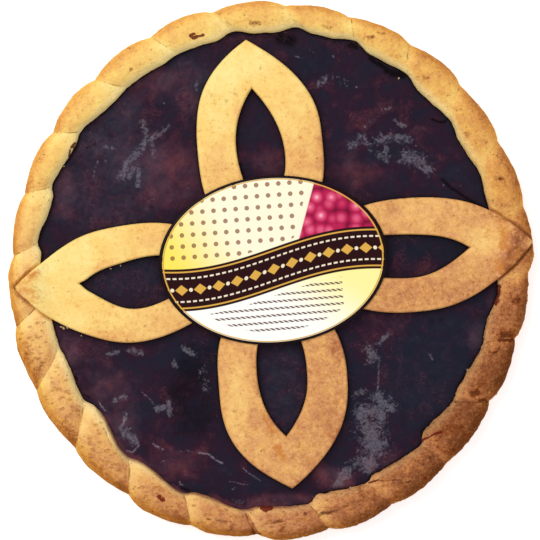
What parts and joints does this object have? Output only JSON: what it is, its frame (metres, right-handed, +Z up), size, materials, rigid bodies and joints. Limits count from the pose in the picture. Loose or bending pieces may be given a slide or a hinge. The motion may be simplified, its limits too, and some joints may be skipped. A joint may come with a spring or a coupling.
{
  "type": "raspberry tart",
  "caption": "Round raspberry tart: rope-pinched shortcrust case, dark set jam, a die-cut pastry flower laid across it and an oval paper label on the middle.",
  "frame": {"origin": "centre of the crust's flat underside", "axes": "+Z up through the middle of the tart, +X along the two long petals of the flower, +Y along the two short ones"},
  "size_m": [0.2379, 0.2438, 0.0175],
  "materials": {
    "crust": "baked shortcrust, golden to brown, dry and slightly rough",
    "raspberry_jam": "set dark jam, smooth with dull patches",
    "pastry_flower": "baked shortcrust, pale golden, smooth",
    "label": "printed paper, soft sheen"
  },
  "bodies": {
    "root": {"crust": "crust", "raspberry_jam": "raspberry_jam", "pastry_flower": "pastry_flower", "label": "label"}
  },
  "joints": []
}
